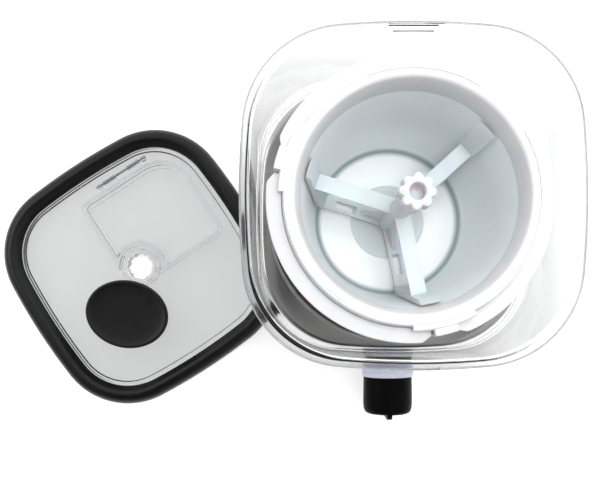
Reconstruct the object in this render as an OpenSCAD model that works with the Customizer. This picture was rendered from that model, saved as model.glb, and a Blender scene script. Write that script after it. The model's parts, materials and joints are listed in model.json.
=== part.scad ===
// Ice cream maker with a rotating freezer bowl, a clear case, and its lid lying beside it.
// Millimetres, +Z up, front of the machine towards -Y. The origin is the middle of the base,
// on the plane that its feet stand on.

/* [Case and base] */
// Width of the clear case over its rim
case_w = 204; // [200:1:208]
// Height of the rim above the table
case_top = 230; // [228:1:234]
// Thickness of the clear wall
case_wall = 2.6; // [2:0.1:3]
// Corner radius of an outline, as a share of its width
corner_share = 0.3; // [0.28:0.01:0.32]
// Width of the steel skirt at its lower edge
skirt_w = 212; // [208:1:216]
// Height of the skirt's lower edge above the table
skirt_low = 24; // [23:1:26]
// Height of the steel deck around the bowl
deck_z = 119; // [117:1:121]
// Width of the recessed plinth
plinth_w = 180; // [176:1:182]

/* [Freezer bowl] */
// Inner diameter of the bowl's mouth
mouth_d = 132; // [130:1:133]
// Outer diameter of the bowl's flange
flange_d = 174; // [172:1:176]
// Height of the inner floor above the table
bowl_floor = 72; // [71:0.5:74]
// Height of the crown of the white rim
crown_z = 229; // [228:0.5:230]
// Direction of the first of three lugs, degrees
lug_turn = 44; // [30:1:60]

/* [Dasher] */
// Height of the dasher's head
dasher_top = 247; // [245:1:249]
// Radius over the lobes of the head
head_r = 10.9; // [10.5:0.1:11]
// Direction of the first of three blades, degrees
blade_turn = 42; // [30:1:60]

/* [Lid] */
// Width of the lid
lid_w = 206; // [200:1:206]
// Height of the lid's black frame
frame_h = 17; // [16:0.5:18]
// Width of the black frame's band
band = 17; // [16:0.5:18]
// Place of the lid's middle on the table, across the machine
lid_x = -206; // [-230:1:-206]
// Place of the lid's middle on the table, front to back
lid_y = -32; // [-40:1:-30]
// How far the lid is turned on the table, degrees
lid_turn = 33; // [31:1:35]

/* [Knob] */
// Height of the knob's axis
knob_z = 76; // [75:1:80]
// Diameter of the knob's cap
knob_d = 38; // [36:1:39]
// Length of the knob's cap
knob_len = 29; // [27:1:30]

/* [Drive] */
// Teeth of the pinion on the motor
pinion_teeth = 12; // [12:1:12]
// Teeth of the idler's large gear
idler_teeth = 48; // [48:1:48]
// Teeth of the idler's small gear
idler_pinion_teeth = 14; // [14:1:14]
// Teeth of the output gear
output_teeth = 58; // [58:1:58]
// Module of the first gear pair
fast_module = 1.25; // [1.25:0.05:1.25]
// Module of the second gear pair
slow_module = 1.5; // [1.5:0.05:1.5]

/* [Hidden] */
$fn = 72;

crown_turn = 5;         // slope where a crowned side meets its corner, degrees
arc_steps = 10;         // steps round a corner
side_steps = 4;         // steps along a side
slip = 0.3;             // gap between bodies that move past each other
run = 0.05;             // radial gap of a running fit

// Outline of a rounded square with slightly crowned sides, counter-clockwise.
function corner_c(w, r) =
    (w / 2 - r * cos(crown_turn) - r * tan(crown_turn) * sin(crown_turn) / 2) / (1 + tan(crown_turn) / 2);
function side_end(w, r) = corner_c(w, r) + r * sin(crown_turn);
function turned(p, a) = [p[0] * cos(a) - p[1] * sin(a), p[0] * sin(a) + p[1] * cos(a)];
function side_point(w, r, t) =
    let (e = side_end(w, r), y = e * (2 * t - 1)) [w / 2 - tan(crown_turn) * y * y / (2 * e), y];
function arc_point(w, r, t) =
    let (c = corner_c(w, r), a = crown_turn + t * (90 - 2 * crown_turn)) [c + r * cos(a), c + r * sin(a)];
function outline(w, r) = [
    for (q = [0:3])
        for (i = [0:side_steps + arc_steps - 1])
            turned(i < side_steps ? side_point(w, r, i / side_steps)
                                  : arc_point(w, r, (i - side_steps) / arc_steps), 90 * q)
];

module plan(w, r) {
    polygon(outline(w, r));
}

// Closed ring swept through the outlines [width, corner radius, z], outside first, then back inside.
module ring_loft(sections) {
    n = 4 * (side_steps + arc_steps);
    m = len(sections);
    points = [for (s = sections) for (p = outline(s[0], s[1])) [p[0], p[1], s[2]]];
    faces = [
        for (i = [0:m - 1])
            for (j = [0:n - 1])
                let (a = i * n + j, b = i * n + (j + 1) % n,
                     c = ((i + 1) % m) * n + (j + 1) % n, d = ((i + 1) % m) * n + j)
                    each [[a, c, b], [a, d, c]]
    ];
    polyhedron(points, faces);
}

module tube(r_out, r_in, z0, z1) {
    translate([0, 0, z0]) difference() {
        cylinder(r = r_out, h = z1 - z0);
        translate([0, 0, -1]) cylinder(r = r_in, h = z1 - z0 + 2);
    }
}

module rod(r, z0, z1) {
    translate([0, 0, z0]) cylinder(r = r, h = z1 - z0);
}

module pan_head_screw(shank_r, length) {
    union() {
        rod(shank_r, 0, length);
        difference() {
            rod(shank_r * 2, -shank_r * 1.2, 0);
            for (a = [0, 90])
                rotate(a) translate([-shank_r * 1.2, -0.4, -shank_r * 1.2 - 1])
                    cube([shank_r * 2.4, 0.8, 1 + shank_r * 0.6]);
        }
    }
}

// ---- gears -------------------------------------------------------------------------------------
function pitch_r(teeth, mod) = teeth * mod / 2;
function gear_outline(teeth, mod) =
    let (r = pitch_r(teeth, mod), tip = r + 0.85 * mod, root = r - 1.25 * mod, step = 360 / teeth,
         half_root = step * 0.27, half_pitch = step * 0.19, half_tip = step * 0.09)
    [for (i = [0:teeth - 1])
        each [
            [root * cos(i * step - half_root), root * sin(i * step - half_root)],
            [r * cos(i * step - half_pitch), r * sin(i * step - half_pitch)],
            [tip * cos(i * step - half_tip), tip * sin(i * step - half_tip)],
            [tip * cos(i * step + half_tip), tip * sin(i * step + half_tip)],
            [r * cos(i * step + half_pitch), r * sin(i * step + half_pitch)],
            [root * cos(i * step + half_root), root * sin(i * step + half_root)]
        ]];

module gear(teeth, mod, z0, z1) {
    translate([0, 0, z0]) linear_extrude(z1 - z0) polygon(gear_outline(teeth, mod));
}

// Places of the drive train, seen from above.
idler_a = 110;
motor_a = 215;
slow_gap = pitch_r(output_teeth, slow_module) + pitch_r(idler_pinion_teeth, slow_module);
fast_gap = pitch_r(idler_teeth, fast_module) + pitch_r(pinion_teeth, fast_module);
idler_at = slow_gap * [cos(idler_a), sin(idler_a)];
motor_at = idler_at + fast_gap * [cos(motor_a), sin(motor_a)];

// ---- heights -----------------------------------------------------------------------------------
foot_h = 4;
pan_floor = 4;
well_z = 47;
well_floor = 3;
well_in = 85.5;
well_out = 88.2;
turntable_z = 53;
slow_z = [30, 36];
fast_z = [38.5, 44.5];
motor_top = 28;
pillar_turns = [40, 190, 250, 320];
pillar_at = 76;
foot_at = 64;

function skirt_at(z) = skirt_w - (z - skirt_low) * 18 / (deck_z - 7 - skirt_low);
sheet = 1;                                   // thickness of the steel sheet
housing_t = 2.4;                             // wall of the plastic housing behind it
case_low = 108;
mouth_r = mouth_d / 2;
flange_r = flange_d / 2;
skirt_front = skirt_at(knob_z) / 2;

ear_at = 32.5;

// Places of the two ears that hold the motor down.
module motor_ears() {
    translate(motor_at) for (a = [motor_a - 65, motor_a + 115])
        rotate(a) translate([ear_at, 0, 0]) children();
}

// ---- base --------------------------------------------------------------------------------------
module feet() {
    color("dimgray") {
        rod(16, 0, foot_h);
        for (x = [-1, 1], y = [-1, 1])
            translate([x * foot_at, y * foot_at, 0]) rod(9, 0, foot_h);
    }
}

module base_pan() {
    color("black") difference() {
        union() {
            translate([0, 0, foot_h]) linear_extrude(pan_floor) plan(plinth_w, plinth_w * corner_share);
            translate([0, 0, foot_h]) linear_extrude(skirt_low + 2 - foot_h) difference() {
                plan(plinth_w, plinth_w * corner_share);
                plan(plinth_w - 6, (plinth_w - 6) * corner_share);
            }
            translate([0, 0, skirt_low]) linear_extrude(2) difference() {
                plan(skirt_w - 3.2, (skirt_w - 3.2) * corner_share);
                plan(plinth_w - 6, (plinth_w - 6) * corner_share);
            }
            tube(12, 9, foot_h + 1, 15);
            translate(idler_at) rod(5, foot_h + 1, 15);
        }
        translate(idler_at) rod(2.5, foot_h + 2, 20);
        for (a = pillar_turns)
            rotate(a) translate([pillar_at, 0, 0]) rod(2.1, 0, 20);
        motor_ears() rod(1.5, 0, 20);
    }
}

module pan_screws() {
    color("silver") for (a = pillar_turns)
        rotate(a) translate([pillar_at, 0, foot_h]) pan_head_screw(1.9, 12);
}

// One skin of the flared body: its outline sections [width, corner radius, z], set in by a distance,
// from the lower edge up over the shoulder to the round opening.
function body_skin(inset, low) =
    let (round_r = well_out + 1.8, side = deck_z - 10, shoulder = skirt_at(deck_z - 6),
         low_r = skirt_w * corner_share,
         rise = (low - skirt_low) / (70 - skirt_low)) [
        [skirt_at(low) - 2 * inset, low_r + rise * (skirt_at(70) * 0.31 - low_r) - inset, low],
        [skirt_at(70) - 2 * inset, skirt_at(70) * 0.31 - inset, 70],
        [skirt_at(side) - 2 * inset, skirt_at(side) * 0.33 - inset, side],
        [shoulder - 3 - 2 * inset, 66 - inset, deck_z - 4.5 - inset],
        [shoulder - 9 - inset, 72 - inset / 2, deck_z - 1 - inset],
        [2 * round_r, round_r, deck_z - inset]
    ];
function reversed(a) = [for (i = [len(a) - 1:-1:0]) a[i]];

// A wall between two skins, over some of their sections: [first, last], the first one raised a little.
function wall_between(outer, inner, sections, lift) =
    let (
        raise = function (a) [
            for (i = [sections[0]:sections[1]]) i == sections[0] ? a[i] + [0, 0, lift] : a[i]
        ]
    ) concat(raise(outer), reversed(raise(inner)));

// Hole for the switch's neck.
module neck_hole() {
    translate([0, -skirt_front - 8, knob_z]) rotate([-90, 0, 0]) cylinder(r = 5, h = 20);
}

// Brushed sheet: a flared skirt that turns in over a shoulder to a round opening.
module steel_skirt() {
    color("lightsteelblue") difference() {
        ring_loft(concat(body_skin(0, skirt_low), reversed(body_skin(sheet, skirt_low))));
        neck_hole();
        translate([gland_x, skirt_back - 10, gland_z]) rotate([-90, 0, 0]) cylinder(r = 6.2, h = 20);
    }
}

// Plastic wall that backs the sheet's sides, with a slot that the cord gland slides up into.
module side_housing() {
    outside = sheet + 0.1;
    low = skirt_low + 2.2;
    color("dimgray") difference() {
        ring_loft(wall_between(body_skin(outside, low), body_skin(outside + housing_t, low), [0, 2], 0));
        neck_hole();
        translate([gland_x - 6.6, skirt_back - 12, low - 1]) cube([13.2, 24, gland_z - low + 7.6]);
    }
}

// Plastic ring that backs the sheet's shoulder and deck.
module deck_frame() {
    outside = sheet + 0.3;
    color("dimgray")
        ring_loft(wall_between(body_skin(outside, 30), body_skin(outside + housing_t, 30), [2, 5], 0.3));
}

// Round tub that the bowl turns in, on pillars that stand on the pan.
module bowl_well() {
    color("dimgray") difference() {
        union() {
            rotate_extrude() polygon([
                [9, well_z - 3], [12, well_z - 3], [12, well_z], [well_out, well_z], [well_out, deck_z - 4],
                [well_out + 1.2, deck_z - 3], [well_out + 1.2, deck_z - 1.5], [well_in, deck_z - 1.5],
                [well_in, well_z + well_floor], [9, well_z + well_floor]
            ]);
            for (a = pillar_turns)
                rotate(a) translate([pillar_at, 0, 0]) rod(5, foot_h + pan_floor, well_z + 1);
        }
        for (a = pillar_turns)
            rotate(a) translate([pillar_at, 0, 0]) rod(1.9, foot_h + pan_floor - 1, 17);
    }
}

// Clear open-topped case: drafted walls, a flat rim, a stepped latch at the front, slots at the back.
module clear_case() {
    w_low = skirt_at(case_low) + 2 * case_wall + 0.1;
    w_top = case_w - 7;
    r_low = w_low * 0.32;
    r_top = w_top * corner_share;
    color("lightcyan", 0.4) difference() {
        ring_loft([
            [w_low, r_low, case_low],
            [w_top, r_top, case_top - 7],
            [case_w - 1.6, case_w * corner_share - 0.8, case_top - 6.2],
            [case_w, case_w * corner_share, case_top - 5],
            [case_w - 0.6, case_w * corner_share, case_top - 0.8],
            [case_w - 2.4, case_w * corner_share - 1, case_top],
            [w_top - 3.4, r_top - 1.7, case_top],
            [w_top - 2 * case_wall, r_top - case_wall, case_top - 1.4],
            [w_low - 2 * case_wall, r_low - case_wall, case_low]
        ]);
        for (x = [-15, 3])
            translate([x, case_w / 2 - 4.4, case_top - 10]) cube([12, 2, 20]);
        translate([-15, -case_w / 2 - 1, case_top - 2]) cube([30, 2.6, 4]);
    }
}

// ---- drive -------------------------------------------------------------------------------------
module motor() {
    color("silver") translate(motor_at) difference() {
        union() {
            rod(28, foot_h + pan_floor + 1.6, motor_top - 1.5);
            rod(26, motor_top - 2, motor_top);
            rod(6, motor_top - 1, motor_top + 1.5);
        }
        rod(2.5 + run, motor_top - 14, motor_top + 2);
    }
}

// Strap under the motor's can, with an ear at each end.
module motor_bracket() {
    color("silver") difference() {
        translate([0, 0, foot_h + pan_floor]) linear_extrude(1.6) {
            translate(motor_at) rotate(motor_a - 65) square([2 * ear_at, 9], center = true);
            motor_ears() circle(4.5);
        }
        motor_ears() rod(1.9, 0, 20);
    }
}

module motor_screws() {
    color("silver") motor_ears()
        translate([0, 0, foot_h + pan_floor + 1.6]) mirror([0, 0, 1]) pan_head_screw(1.5, 5);
}

module motor_shaft() {
    color("silver") translate(motor_at) rod(2.5, motor_top - 12, fast_z[1] + 1);
}

module motor_pinion() {
    color("gold") translate(motor_at) rotate(motor_a + 180 + 180 / pinion_teeth) difference() {
        gear(pinion_teeth, fast_module, fast_z[0], fast_z[1]);
        rod(2.5, 0, 60);
    }
}

module idler_pin() {
    color("silver") translate(idler_at) rod(2.5, foot_h + 2, well_z);
}

module idler_gear() {
    color("ivory") translate(idler_at) difference() {
        union() {
            rotate(motor_a) gear(idler_teeth, fast_module, fast_z[0], fast_z[1]);
            rotate(idler_a + 180 + 180 / idler_pinion_teeth)
                gear(idler_pinion_teeth, slow_module, slow_z[0] - 0.5, fast_z[0] + 1);
            rod(5, 15.5, slow_z[0]);
        }
        rod(2.5 + run, 0, 60);
    }
}

module lower_bush() {
    color("peru") tube(9, 5 + run, foot_h + pan_floor, 16);
}

module upper_bush() {
    color("peru") tube(9, 5 + run, well_z - 3, well_z + well_floor);
}

module output_shaft() {
    color("silver") rod(5, foot_h + pan_floor + 1, turntable_z - 1);
}

module output_gear() {
    color("ivory") difference() {
        union() {
            rotate(idler_a) gear(output_teeth, slow_module, slow_z[0], slow_z[1]);
            rod(11, slow_z[0] - 8, slow_z[1] + 4);
        }
        rod(5, 0, 60);
        for (a = [0:60:300])
            rotate(a) translate([26, 0, 0]) rod(8, 0, 60);
    }
}

// Turntable that carries the bowl, with a cross-shaped dog on top.
module dog_plan(grow) {
    for (a = [0, 90])
        rotate(a) square([36 + 2 * grow, 9 + 2 * grow], center = true);
}

module drive_coupling() {
    color("black") difference() {
        union() {
            rod(30, turntable_z - 2.4, turntable_z);
            translate([0, 0, turntable_z - 1]) linear_extrude(5) dog_plan(0);
        }
        rod(5, 0, turntable_z - 1);
    }
}

// ---- control -----------------------------------------------------------------------------------
collar_r = 19.8;
collar_out = 19.5;
module knob_axis() {
    translate([0, 0, knob_z]) rotate([90, 0, 0]) children();
}

module rotary_switch() {
    color("black") difference() {
        union() {
            translate([-14, -skirt_front + 6.4, knob_z - 14]) cube([28, 5.2, 28]);
            knob_axis() rod(4.8, skirt_front - 8, skirt_front + 6);
        }
        knob_axis() rod(3 + run, skirt_front - 10, skirt_front + 8);
    }
}

module switch_nut() {
    color("silver") knob_axis() difference() {
        translate([0, 0, skirt_front + 2.2]) cylinder(r = 8, h = 2.4, $fn = 6);
        rod(4.8, skirt_front, skirt_front + 8);
    }
}

// Pale bezel that stands off the slanting skirt; its back follows the skirt's slope.
module knob_collar() {
    slope = atan((skirt_w - skirt_at(100)) / 2 / (100 - skirt_low));
    color("lavender") difference() {
        knob_axis() tube(collar_r, collar_r - 2.2, skirt_front - 8, skirt_front + collar_out);
        translate([0, -skirt_front - 0.6, knob_z]) rotate([-slope, 0, 0])
            translate([-40, 0, -40]) cube([80, 60, 80]);
    }
}

module knob_shaft() {
    color("silver") knob_axis() rod(3, skirt_front - 9, skirt_front + collar_out + 12);
}

module knob() {
    near = skirt_front + collar_out - 2;
    far = skirt_front + collar_out + knob_len;
    r = knob_d / 2;
    color("black") knob_axis() difference() {
        union() {
            rotate_extrude() polygon([
                [0, near], [r - 2, near], [r - 2, near + 2.4], [r - 0.5, near + 2.4],
                [r, near + 3.2], [r, far - 3], [r - 0.9, far - 0.9], [r - 3, far], [0, far]
            ]);
            translate([-2, -r + 1, far - 1]) cube([4, 2 * r - 2, 4]);
            translate([-1.6, r - 2.5, near + 5]) cube([3.2, 3.1, far - near - 6]);
        }
        rod(3, near - 4, skirt_front + collar_out + 12);
    }
}

// ---- cord entry --------------------------------------------------------------------------------
gland_x = 40;
gland_z = 42;
skirt_back = skirt_at(gland_z) / 2;
module cord_gland() {
    color("black") translate([gland_x, skirt_back, gland_z]) rotate([-90, 0, 0]) difference() {
        union() {
            rod(6, -9, 10);
            rod(9.5, 1.4, 4);
            rod(9, -9, -6.8);
        }
        rod(3.6, -12, 12);
    }
}

// ---- freezer bowl ------------------------------------------------------------------------------
shell_low = turntable_z + slip + 3.7;
liner_t = 1.6;
liner_low_r = mouth_r - 8;
floor_r = mouth_r - 11;
seat_z = 209;
module bowl_coupling() {
    color("gray") difference() {
        rod(30, turntable_z + slip, shell_low);
        translate([0, 0, turntable_z]) linear_extrude(20) dog_plan(slip + 0.1);
    }
}

module bowl_shell() {
    color("white") difference() {
        rotate_extrude() polygon([
            [0, shell_low], [74, shell_low], [77, shell_low + 3], [81, seat_z - 2],
            [78.6, seat_z - 2], [74.6, shell_low + 3], [0, shell_low + 2.4]
        ]);
        translate([0, 0, shell_low - 1]) linear_extrude(1 + 1.4) dog_plan(slip + 0.1);
    }
}

// Sealed freezing mix between the shell and the liner.
module coolant() {
    color("powderblue") rotate_extrude() polygon([
        [0, shell_low + 3], [74, shell_low + 3.4], [78.2, seat_z - 6],
        [mouth_r + 2, seat_z - 6], [liner_low_r + 2, bowl_floor + 12], [liner_low_r + 0.9, bowl_floor + 5],
        [floor_r + 0.9, bowl_floor - 0.8], [floor_r - 3.6, bowl_floor - 2.2], [0, bowl_floor - 2.2]
    ]);
}

module bowl_liner() {
    color("silver") rotate_extrude() polygon([
        [0, bowl_floor + 1.2], [28, bowl_floor + 1.2], [28.6, bowl_floor], [floor_r - 5, bowl_floor],
        [floor_r - 1, bowl_floor + 1.4], [liner_low_r - 1.4, bowl_floor + 7], [liner_low_r, bowl_floor + 12],
        [mouth_r, seat_z], [mouth_r + 4, seat_z], [mouth_r + 4, seat_z - liner_t],
        [mouth_r + liner_t, seat_z - liner_t], [liner_low_r + liner_t, bowl_floor + 12],
        [liner_low_r + 0.4, bowl_floor + 6], [floor_r + 0.4, bowl_floor], [floor_r - 4, bowl_floor - liner_t],
        [0, bowl_floor - liner_t]
    ]);
}

module lug_sector(r, half_angle) {
    reach = r / cos(half_angle / 6);
    polygon([[0, 0], for (i = [-3:3]) reach * [cos(half_angle * i / 3), sin(half_angle * i / 3)]]);
}

// Ring of three sectors round the shell, open where the rim's lugs lock into it.
module bowl_flange() {
    color("white") translate([0, 0, seat_z]) difference() {
        union() {
            tube(flange_r, 81.4, 2, 7);
            tube(83.6, 81.4, -5, 3);
        }
        for (i = [0:2])
            rotate(lug_turn + 120 * i) translate([0, 0, 1.9]) linear_extrude(12) lug_sector(120, 10.5);
    }
}

// Rounded white rim: crown, groove, inner funnel, and three lugs.
module bowl_rim() {
    color("white") difference() {
        union() {
            rotate_extrude() polygon([
                [mouth_r, seat_z + 0.2], [81, seat_z + 0.2], [81, seat_z + 14], [80, seat_z + 15.6],
                [77.4, seat_z + 16.4], [77.4, crown_z - 1.6], [76.2, crown_z - 0.4], [75, crown_z],
                [72, crown_z - 0.6], [69.6, crown_z - 3], [68, crown_z - 7], [66.8, crown_z - 12],
                [mouth_r, seat_z + 3]
            ]);
            for (i = [0:2])
                rotate(lug_turn + 120 * i) translate([0, 0, seat_z + 7.2]) {
                    linear_extrude(6) difference() {
                        lug_sector(82.5, 14);
                        circle(79);
                    }
                    translate([0, 0, -4]) linear_extrude(8) difference() {
                        lug_sector(flange_r - 1, 4.5);
                        circle(79);
                    }
                }
        }
        tube(74.4, 73.2, crown_z - 1, crown_z + 1);
    }
}

// ---- dasher ------------------------------------------------------------------------------------
blade_t = 3;
blade_half = 5.3;
arm_z = 165;
scrape_gap = 1;
// Radius of the liner's wall at a height.
function wall_r(z) = liner_low_r + (z - bowl_floor - 12) * (mouth_r - liner_low_r) / (seat_z - bowl_floor - 12);

// One blade: an arm and a windowed lower bar, out to a scraper that follows the liner's wall.
module blade() {
    low = bowl_floor + 6;
    r_foot = liner_low_r - 4.4;
    r_mid = wall_r(bowl_floor + 16) - scrape_gap;
    r_top = wall_r(seat_z - 3) - scrape_gap;
    union() {
        translate([5, -blade_half, arm_z - blade_t]) cube([wall_r(arm_z) - 8.4, 2 * blade_half, blade_t]);
        translate([5, -blade_t / 2, arm_z - 11]) cube([wall_r(arm_z) - 9.4, blade_t, 9]);
        intersection() {
            rotate_extrude() polygon([
                [r_foot - 3.6, low], [r_foot, low], [r_mid, bowl_floor + 16], [r_top, seat_z - 3],
                [r_top - 2.7, seat_z + 1], [r_mid - 3.4, bowl_floor + 20]
            ]);
            translate([40, -6.5, low - 1]) cube([40, 13, seat_z]);
        }
        translate([5, -blade_half, low]) difference() {
            cube([r_foot - 7.6, 2 * blade_half, blade_t]);
            translate([21, blade_half - 2.7, -1]) cube([16, 5.4, blade_t + 2]);
        }
        rotate([90, 0, 0]) translate([0, 0, -blade_t / 2]) linear_extrude(blade_t)
            polygon([[5, low + 1], [24, low + 1], [5, low + 30]]);
    }
}

module dasher() {
    color("white") difference() {
        union() {
            rod(7, bowl_floor + 1.5 + slip, dasher_top - 16);
            rotate_extrude() polygon([
                [0, dasher_top - 22], [7, dasher_top - 22], [8.6, dasher_top - 17], [8.6, dasher_top],
                [0, dasher_top]
            ]);
            for (i = [0:7])
                rotate(45 * i + blade_turn) translate([8.1, 0, 0])
                    rod(head_r - 8.1, dasher_top - 17, dasher_top);
            for (i = [0:2])
                rotate(blade_turn + 120 * i) blade();
        }
        rod(4.7, dasher_top - 14, dasher_top + 1);
    }
}

// ---- lid ---------------------------------------------------------------------------------------
panel_z = 8;
panel_t = 2.5;
flap_low = panel_z + panel_t + slip;
hinge_y = 77;
hinge_z = flap_low + 1.9;
hinge_ears = [6, 50];
flap_x = [-7, 78];
flap_y = [-6, 72];
spout_x = [2, 66];
spout_y = [16, 68];
socket_r = 14;
oval_at = [-29.5, -29.5];
oval_r = [35, 28.5];
function ellipse(rx, ry) = [for (i = [0:47]) [rx * cos(i * 7.5), ry * sin(i * 7.5)]];

module on_lid() {
    translate([lid_x, lid_y, 0]) rotate(lid_turn) children();
}

// Soft black frame of round section, flattened under and inside.
module lid_frame() {
    inner = lid_w - 2 * band;
    r_out = lid_w * corner_share;
    r_in = r_out - band;
    color("black") on_lid() ring_loft([
        [lid_w - 9, r_out - 4.5, 0], [lid_w - 3, r_out - 1.5, 2.2], [lid_w - 0.4, r_out, 6],
        [lid_w, r_out, frame_h / 2], [lid_w - 2.6, r_out - 1.3, 12.4], [lid_w - 8.6, r_out - 4.3, 15.8],
        [lid_w - band, r_out - band / 2, frame_h], [inner + 8.6, r_in + 4.3, 15.8],
        [inner + 2.2, r_in + 1.1, 12.8], [inner, r_in, 10.6], [inner, r_in, 0.8], [inner + 3, r_in + 1.5, 0]
    ]);
}

module lid_panel() {
    inner = lid_w - 2 * band - 0.8;
    r_in = lid_w * corner_share - band;
    color("lightcyan", 0.4) on_lid() difference() {
        union() {
            translate([0, 0, panel_z]) linear_extrude(panel_t) plan(inner, r_in);
            translate([0, 0, panel_z + panel_t]) linear_extrude(1.2) difference() {
                plan(inner - 1.4, r_in - 0.7);
                plan(inner - 4, r_in - 2);
            }
            for (x = hinge_ears)
                translate([x, hinge_y - 2.6, panel_z + 1]) cube([4, 4.2, hinge_z - panel_z + 1.2]);
        }
        rod(socket_r, 0, 30);
        translate([spout_x[0], spout_y[0], 0])
            cube([spout_x[1] - spout_x[0], spout_y[1] - spout_y[0], 30]);
        translate([oval_at[0], oval_at[1], 0]) rod(2.2, 0, 30);
        translate([0, hinge_y, hinge_z]) rotate([0, 90, 0]) rod(1, 0, 60);
    }
}

// Clear tube with inner teeth that holds the dasher's head still.
module lid_socket() {
    color("lightcyan", 0.5) on_lid() difference() {
        union() {
            rod(socket_r, 1, 19.5);
            rod(socket_r + 1.6, 1, panel_z);
        }
        rod(head_r + 0.6, 0, 30);
    }
    color("lightcyan", 0.5) on_lid() for (i = [0:7])
        rotate(45 * i) translate([head_r - 0.4, -0.8, 4]) cube([1.6, 1.6, 14]);
}

module oval_turned() {
    translate([oval_at[0], oval_at[1], 0]) rotate(-45) children();
}

module oval_slab(shrink, z0, z1) {
    translate([0, 0, z0]) linear_extrude(z1 - z0) polygon(ellipse(oval_r[0] - shrink, oval_r[1] - shrink));
}

// Oval grip on a waisted foot.
module lid_knob() {
    floor_z = panel_z + panel_t;
    color("black") on_lid() difference() {
        oval_turned() union() {
            oval_slab(7, floor_z, floor_z + 3);
            oval_slab(10, floor_z + 2, 22);
            oval_slab(2, 20.6, 22.4);
            oval_slab(0.6, 22, 24);
            oval_slab(0, 23.4, 27);
            oval_slab(1.2, 26.6, 28);
        }
        translate([oval_at[0], oval_at[1], 0]) rod(1.8, 0, 20);
    }
}

module lid_knob_screw() {
    color("silver") on_lid() translate([oval_at[0], oval_at[1], panel_z]) pan_head_screw(1.8, 11);
}

module hinge_pin() {
    color("silver") on_lid() translate([0, hinge_y, hinge_z]) rotate([0, 90, 0])
        rod(1, hinge_ears[0] - 1, hinge_ears[1] + 5);
}

// Clear filling flap with a shallow skirt that drops into the spout.
module lid_flap() {
    color("lightcyan", 0.5) on_lid() difference() {
        union() {
            translate([0, 0, flap_low]) linear_extrude(2.2) difference() {
                intersection() {
                    translate([flap_x[0], flap_y[0]]) square([flap_x[1] - flap_x[0], flap_y[1] - flap_y[0]]);
                    plan(2 * flap_x[1], lid_w * corner_share - band - 2);
                }
                circle(socket_r + 2.4);
            }
            translate([spout_x[0] + 0.6, spout_y[0] + 1.8, 4]) difference() {
                cube([spout_x[1] - spout_x[0] - 1.2, spout_y[1] - spout_y[0] - 2.4, flap_low - 3]);
                translate([2, 2, -1])
                    cube([spout_x[1] - spout_x[0] - 5.2, spout_y[1] - spout_y[0] - 6.4, 40]);
            }
            for (x = [hinge_ears[0] + 6, hinge_ears[1] - 14]) {
                translate([x, flap_y[1] - 3, flap_low]) cube([12, hinge_y - flap_y[1] + 3, 2.2]);
                translate([x, hinge_y, hinge_z]) rotate([0, 90, 0]) cylinder(r = 1.85, h = 12);
            }
        }
        translate([0, hinge_y, hinge_z]) rotate([0, 90, 0]) rod(1 + run, 0, 60);
    }
}

feet();
base_pan();
pan_screws();
side_housing();
deck_frame();
steel_skirt();
bowl_well();
clear_case();
motor();
motor_bracket();
motor_screws();
motor_shaft();
motor_pinion();
idler_pin();
idler_gear();
lower_bush();
upper_bush();
output_shaft();
output_gear();
drive_coupling();
rotary_switch();
switch_nut();
knob_collar();
knob_shaft();
knob();
cord_gland();
bowl_coupling();
bowl_shell();
coolant();
bowl_liner();
bowl_flange();
bowl_rim();
dasher();
lid_frame();
lid_panel();
lid_socket();
lid_knob();
lid_knob_screw();
hinge_pin();
lid_flap();
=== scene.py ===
import json
import math

import bmesh
import bpy
from mathutils import Matrix, Vector


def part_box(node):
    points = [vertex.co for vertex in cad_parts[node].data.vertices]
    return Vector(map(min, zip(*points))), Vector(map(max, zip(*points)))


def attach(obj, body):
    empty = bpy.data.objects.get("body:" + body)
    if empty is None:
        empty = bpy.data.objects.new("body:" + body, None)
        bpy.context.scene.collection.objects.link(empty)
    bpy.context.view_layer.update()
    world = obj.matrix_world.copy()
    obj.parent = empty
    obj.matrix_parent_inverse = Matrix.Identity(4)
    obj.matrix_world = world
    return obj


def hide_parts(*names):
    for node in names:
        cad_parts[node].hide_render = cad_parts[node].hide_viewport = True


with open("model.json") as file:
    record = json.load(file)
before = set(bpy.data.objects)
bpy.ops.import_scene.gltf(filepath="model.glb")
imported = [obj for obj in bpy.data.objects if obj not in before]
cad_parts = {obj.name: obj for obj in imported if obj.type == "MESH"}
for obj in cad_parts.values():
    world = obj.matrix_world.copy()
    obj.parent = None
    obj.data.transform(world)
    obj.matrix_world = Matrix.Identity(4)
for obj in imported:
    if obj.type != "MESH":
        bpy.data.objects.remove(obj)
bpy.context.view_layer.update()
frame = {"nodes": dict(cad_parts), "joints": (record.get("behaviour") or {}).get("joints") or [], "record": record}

# Looks of the ice cream maker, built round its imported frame. Lengths are in metres.
MM = 0.001
BODY_OF = {n: b for b, nodes in frame["record"]["behaviour"]["bodies"].items() for n in nodes}
CROWN = math.radians(5)          # slope where a crowned side meets its corner
SIDE_STEPS = 12                  # points along one side of a rounded square
ARC_STEPS = 26                   # points round one of its corners
TURN_STEPS = 160                 # points round a turned piece


# ---- places worked out from the frame ----------------------------------------------------------
def low(node):
    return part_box(node)[0]


def high(node):
    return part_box(node)[1]


def half_width(node):
    """Half of a node's width along X."""
    a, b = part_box(node)
    return (b.x - a.x) / 2


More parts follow.
